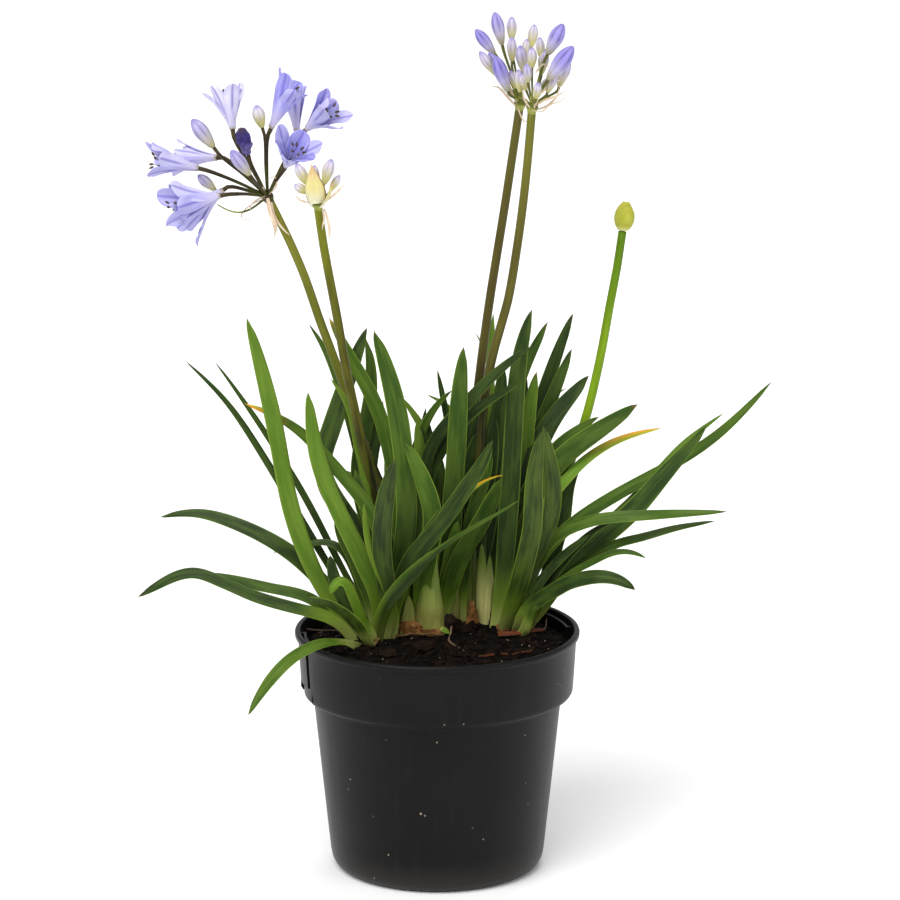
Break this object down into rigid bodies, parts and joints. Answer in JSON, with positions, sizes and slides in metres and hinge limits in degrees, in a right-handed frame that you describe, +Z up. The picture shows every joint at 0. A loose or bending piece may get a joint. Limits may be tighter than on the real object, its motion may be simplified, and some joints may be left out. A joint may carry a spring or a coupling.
{
  "type": "potted agapanthus plant",
  "caption": "Agapanthus in a black plastic nursery pot: strap leaves, slender flower scapes, an open head of lilac-blue flowers, heads in bud and a closed bud.",
  "frame": {"origin": "middle of the pot's flat underside, on the surface that the pot stands on", "axes": "+Z up along the pot's axis, +X to the right of the plant's front, -Y out of the front"},
  "size_m": [0.333, 0.155, 0.447],
  "materials": {
    "pot_plastic": "satin",
    "compost": "matte",
    "leaf_base": "satin",
    "leaf_green": "satin",
    "leaf_dark": "satin",
    "leaf_bright": "satin",
    "scape_brown": "satin",
    "scape_green": "satin",
    "flower_stalk": "satin",
    "tepal_blue": "matte",
    "bud_violet": "satin",
    "spathe_cream": "matte",
    "bud_green": "satin"
  },
  "bodies": {
    "root": {"bud_head_back": "bud_violet", "bud_head_front": "bud_violet", "closed_bud": "bud_green", "compost": "compost", "crown_back": "leaf_base", "crown_centre": "leaf_base", "crown_front_right": "leaf_base", "crown_pale_shoot": "leaf_base", "flower_facing": "tepal_blue", "flower_left_back": "tepal_blue", "flower_left_lower": "tepal_blue", "flower_left_upper": "tepal_blue", "flower_right": "tepal_blue", "flower_top": "tepal_blue", "flower_top_back": "tepal_blue", "flower_top_left": "tepal_blue", "leaf_back_left_a": "leaf_green", "leaf_back_left_b": "leaf_green", "leaf_centre_blue": "leaf_dark", "leaf_centre_bow": "leaf_green", "leaf_centre_left_broad": "leaf_green", "leaf_centre_left_short": "leaf_green", "leaf_centre_upright": "leaf_green", "leaf_crossing_centre": "leaf_green", "leaf_dark_left": "leaf_dark", "leaf_far_right": "leaf_green", "leaf_front_broad": "leaf_dark", "leaf_front_folded": "leaf_green", "leaf_front_grey": "leaf_green", "leaf_grey_stub": "leaf_green", "leaf_left_arch": "leaf_green", "leaf_left_bright": "leaf_bright", "leaf_left_tall": "leaf_bright", "leaf_left_thin_bow": "leaf_green", "leaf_left_yellow_tip": "leaf_bright", "leaf_low_left_long": "leaf_green", "leaf_low_left_short": "leaf_green", "leaf_mid_left_pale": "leaf_green", "leaf_mid_left_upright": "leaf_green", "leaf_right_bright": "leaf_bright", "leaf_right_broad": "leaf_green", "leaf_right_brown_tip": "leaf_green", "leaf_right_bulged": "leaf_green", "leaf_right_dark": "leaf_dark", "leaf_right_low": "leaf_green", "leaf_right_second": "leaf_green", "leaf_right_tall_thin": "leaf_green", "leaf_right_wide": "leaf_dark", "leaf_right_yellow_end": "leaf_bright", "leaf_rim_droop": "leaf_green", "open_head_stalks": "flower_stalk", "pot": "pot_plastic", "scape_bud_head_back": "scape_brown", "scape_bud_head_front": "scape_brown", "scape_closed_bud": "scape_green", "scape_open_head": "scape_brown", "scape_opening_head": "scape_brown", "spathe_front": "spathe_cream", "spathe_side": "spathe_cream", "young_buds": "bud_violet"}
  },
  "joints": []
}
